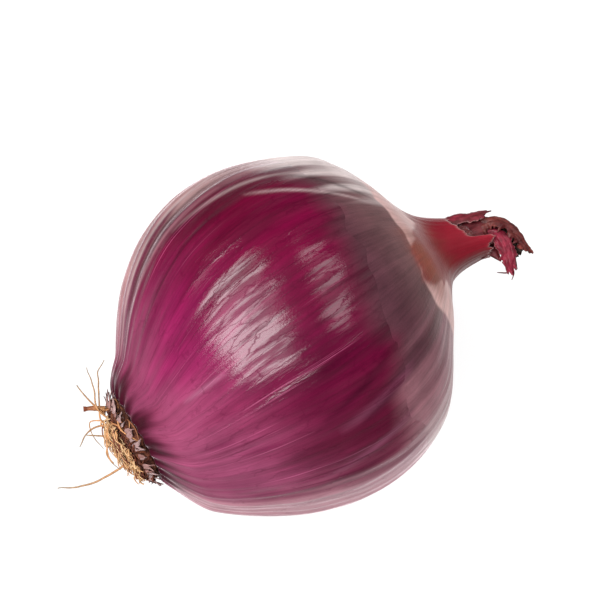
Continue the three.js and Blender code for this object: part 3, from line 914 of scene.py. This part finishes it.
def skin_material():
    n = Nodes("glossy red skin")
    grain, tone = n.attribute("grain", "Vector"), n.attribute("tone", "Color")
    place = n.millimetres()
    broad = streaks(n, grain, 7, 0.25)
    medium = streaks(n, grain, 26, 0.4, detail=4)
    fine = streaks(n, grain, 90, 0.9, detail=4)
    blotch = n.add("TexNoise", Vector=place, Scale=0.11, Detail=5.0)
    along = n.add("SeparateXYZ", out=2, Vector=grain)
    calm = n.ramp(along, 0.8, 3.2, 0.35, 1.0)
    stripe = n.weighted((n.vary(medium, -0.2, 0.17), calm), (n.vary(fine, -0.11, 0.1), calm))
    shade = n.maths("ADD", n.vary(broad, 0.76, 1.22), stripe)
    shade = n.maths("MULTIPLY", shade, n.vary(blotch, 0.84, 1.14))
    colour = n.shaded(tone, shade)
    stain = n.ramp(streaks(n, grain, 19, 0.2, detail=5), 0.6, 0.68, 0, 0.55)
    colour = n.mix(n.maths("MULTIPLY", stain, calm), colour, (*srgb(56, 0, 24), 1))
    vein = n.ramp(streaks(n, grain, 42, 0.14), 0.66, 0.73, 0, 0.3)
    colour = n.mix(n.maths("MULTIPLY", vein, calm), colour, (*srgb(206, 110, 150), 1))

    # Fine cracks run with the grain, and a finer crazing lies all over.
    cell = n.add("Mapping", Vector=grain, Scale=(21, 21, 0.75))
    warp = n.add("TexNoise", out=1, Vector=place, Scale=0.5, Detail=3.0)
    cell = n.vector_maths("MULTIPLY_ADD", warp, (0.5, 0.5, 0.5), cell)
    crack = n.add("TexVoronoi", settings={"feature": "DISTANCE_TO_EDGE"}, Vector=cell, Scale=1.0)
    groove = n.ramp(crack, 0.0, 0.05, 0.0, 1.0)
    colour = n.mix(n.ramp(groove, 0, 1, 0.25, 0.0), colour, (*srgb(50, 0, 22), 1))
    crazing = n.add("TexNoise", Vector=place, Scale=2.2, Detail=5.0, Roughness=0.65)
    relief = n.weighted((medium, 0.55), (fine, 0.2), (crazing, 0.22), (groove, 0.1))
    relief = n.maths("MULTIPLY", relief, n.ramp(along, 0.4, 2.4, 0.3, 1.0))
    bump = n.add("Bump", Strength=1.0, Distance=0.00012, Height=relief)
    rough = n.vary(fine, 0.4, 0.55)
    worn = streaks(n, grain, 17, 0.55, detail=5)
    gloss = n.maths("MULTIPLY", n.ramp(worn, 0.45, 0.55, 0.2, 1.0), n.ramp(groove, 0, 1, 0.25, 1.0))
    sideways = n.maths("ABSOLUTE", n.add("SeparateXYZ", out=0, Vector=grain))
    gloss = n.maths("MULTIPLY", gloss, n.ramp(sideways, 0.68, 0.86, 1.0, 0.08))
    gloss = n.maths("MULTIPLY", gloss, n.ramp(along, 1.0, 3.0, 0.06, 1.0))
    return n.finish(Base_Color=colour, Roughness=rough, Normal=bump, Specular_IOR_Level=0.06,
                    Coat_Weight=gloss, Coat_Roughness=0.1, Coat_Normal=bump,
                    Sheen_Weight=0.85, Sheen_Roughness=0.22, Sheen_Tint=(1.0, 0.82, 0.86, 1))


def film_material():
    n = Nodes("dry papery skin")
    grain, tone = n.attribute("grain", "Vector"), n.attribute("tone", "Color")
    place = n.millimetres()
    medium = streaks(n, grain, 24, 0.5)
    fine = streaks(n, grain, 80, 1.4, detail=5)
    blotch = n.add("TexNoise", Vector=place, Scale=0.16, Detail=5.0)
    along = n.add("SeparateXYZ", out=2, Vector=grain)
    strength = n.ramp(along, 8.2, 9.6, 1.0, 0.3)
    streak = n.weighted(
        (n.vary(medium, -0.17, 0.17), strength), (n.vary(fine, -0.16, 0.16), strength))
    shade = n.maths("ADD", n.vary(blotch, 0.84, 1.16), streak)
    colour = n.shaded(tone, shade)
    crackle = n.add("TexNoise", Vector=place, Scale=0.8, Detail=5.0, Distortion=1.2)
    relief = n.weighted((n.maths("MULTIPLY", fine, 0.6), strength), (crackle, 0.6))
    bump = n.add("Bump", Strength=0.6, Distance=0.0002, Height=relief)
    return n.finish(Base_Color=colour, Roughness=0.5, Normal=bump, Specular_IOR_Level=0.09,
                    Coat_Weight=0.05, Coat_Roughness=0.25, Sheen_Weight=0.45,
                    Sheen_Roughness=0.28, Sheen_Tint=(1.0, 0.9, 0.89, 1))


def leaf_material():
    n = Nodes("dead leaf")
    grain, tone = n.attribute("grain", "Vector"), n.attribute("tone", "Color")
    place = n.millimetres()
    veins = streaks(n, grain, 60, 3.0, detail=4)
    blotch = n.add("TexNoise", Vector=place, Scale=0.9, Detail=6.0)
    shade = n.maths("MULTIPLY", n.vary(veins, 0.7, 1.25),
                    n.vary(blotch, 0.7, 1.25))
    colour = n.shaded(tone, shade)
    relief = n.weighted((veins, 0.6), (blotch, 0.6))
    bump = n.add("Bump", Strength=0.6, Distance=0.0001, Height=relief)
    return n.finish(Base_Color=colour, Roughness=n.vary(blotch, 0.36, 0.55),
                    Normal=bump, Specular_IOR_Level=0.22)


def cork_material():
    n = Nodes("cork and fibre")
    tone, place = n.attribute("tone", "Color"), n.millimetres()
    fibre = n.add("TexNoise", Vector=place, Scale=2.6, Detail=6.0, Roughness=0.7)
    shade = n.vary(fibre, 0.5, 1.4)
    colour = n.shaded(tone, shade)
    bump = n.add("Bump", Strength=0.9, Distance=0.0003, Height=fibre)
    return n.finish(Base_Color=colour, Roughness=0.85, Normal=bump, Specular_IOR_Level=0.2)


def root_material():
    n = Nodes("dry root")
    tone, place = n.attribute("tone", "Color"), n.millimetres()
    fibre = n.add("TexNoise", Vector=place, Scale=1.6, Detail=4.0)
    shade = n.vary(fibre, 0.72, 1.25)
    colour = n.shaded(tone, shade)
    bump = n.add("Bump", Strength=0.5, Distance=0.0001, Height=fibre)
    return n.finish(Base_Color=colour, Roughness=0.6, Normal=bump, Specular_IOR_Level=0.3)


# ------------------------------------------------------------------ room and camera

def make_floor():
    """White paper, which is brighter to look at than the light that it throws on the onion."""
    mesh = bpy.data.meshes.new("floor")
    side = 4.0
    mesh.from_pydata(
        [(-side, -side, 0), (side, -side, 0), (side, side, 0), (-side, side, 0)], [],
        [(0, 1, 2, 3)])
    floor = add_object("floor", mesh)
    n = Nodes("plain white paper")
    away = n.vector_maths("LENGTH", n.place(), out=1)
    seen = n.tree.nodes.new("ShaderNodeLightPath").outputs["Is Camera Ray"]
    to_eye = n.ramp(away, 0.12, 0.6, 0.88, 1.0)
    to_onion = n.ramp(away, 0.075, 0.13, 1.1, 0.0)
    glow = n.add("Mix", Factor=seen, A=to_onion, B=to_eye)
    mesh.materials.append(n.finish(
        Base_Color=(0.15, 0.15, 0.15, 1), Roughness=0.9, Specular_IOR_Level=0.0,
        Emission_Color=(1, 1, 1, 1), Emission_Strength=glow))


VIEW_TURN, VIEW_HEIGHT, VIEW_DISTANCE = -36.85, 68.0, 380.0     # degrees, degrees, mm
AIM_RIGHT, AIM_UP, AIM_HEIGHT = 3.45, 5.65, 39
turn, rise = math.radians(VIEW_TURN), math.radians(VIEW_HEIGHT)
BACK = Vector((math.cos(rise) * math.sin(turn), -math.cos(rise) * math.cos(turn), math.sin(rise)))
RIGHT = Vector((math.cos(turn), math.sin(turn), 0))
UP = BACK.cross(RIGHT)


def make_camera():
    camera = add_object("camera", bpy.data.cameras.new("camera"))
    target = Vector((0, 0, AIM_HEIGHT)) + RIGHT * AIM_RIGHT + UP * AIM_UP
    camera.location = (target + BACK * VIEW_DISTANCE) * MM
    camera.rotation_mode = "QUATERNION"
    camera.rotation_quaternion = (-BACK).to_track_quat("-Z", "Y")
    camera.data.lens, camera.data.sensor_width = 100, 36
    camera.data.clip_start, camera.data.clip_end = 0.01, 20
    bpy.context.scene.camera = camera


def soft_box(name, place, size, radiance):
    """A rectangular light, with its place and size in metres."""
    light = bpy.data.lights.new(name, "AREA")
    light.shape = "RECTANGLE"
    light.size, light.size_y = size
    light.energy = radiance * math.pi * light.size * light.size_y
    panel = add_object(name, light)
    panel.location = place
    return panel


def panel_light(name, place, size, turned, radiance):
    """A level soft box that looks down, turned by an angle in degrees."""
    panel = soft_box(name, place, size, radiance)
    panel.rotation_euler = (0, 0, math.radians(turned))


def wall_light(name, place, size, radiance):
    """An upright soft box that faces the onion and leaves no highlight on it."""
    panel = soft_box(name, place, size, radiance)
    panel.rotation_mode = "QUATERNION"
    panel.rotation_quaternion = (-Vector(place)).to_track_quat("-Z", "Y")
    panel.visible_glossy = False


def make_world():
    """A dim room that lights the onion, with a pale backdrop behind it."""
    world = bpy.data.worlds.new("studio")
    bpy.context.scene.world = world
    world.use_nodes = True
    tree = world.node_tree
    seen = tree.nodes.new("ShaderNodeLightPath").outputs["Is Camera Ray"]
    mix = tree.nodes.new("ShaderNodeMix")
    mix.data_type = "RGBA"
    tree.links.new(seen, mix.inputs[0])
    mix.inputs[6].default_value = (0.11, 0.105, 0.105, 1)
    mix.inputs[7].default_value = (1, 1, 1, 1)
    tree.links.new(mix.outputs[2], tree.nodes["Background"].inputs["Color"])


make_floor()
make_camera()
make_world()
panel_light("left soft box", (-0.62, 0.12, 0.88), (0.84, 1.34), -16, 8.4)
panel_light("right soft box", (0.45, -0.12, 0.88), (0.48, 0.98), -20, 3.2)
wall_light("right fill", (1.3, -0.35, 0.34), (1.1, 0.6), 4.6)
wall_light("root fill", (-1.15, -0.75, 0.36), (1.5, 0.6), 4.5)
bpy.context.scene.view_settings.view_transform = "Standard"

make_skin(skin_material())
make_papery_skin(film_material())
make_leaf_ends(leaf_material())
make_root_plate(cork_material())
make_torn_scales(leaf_material())
roots = root_material()
make_root_mat(roots)
make_stray_roots(roots)
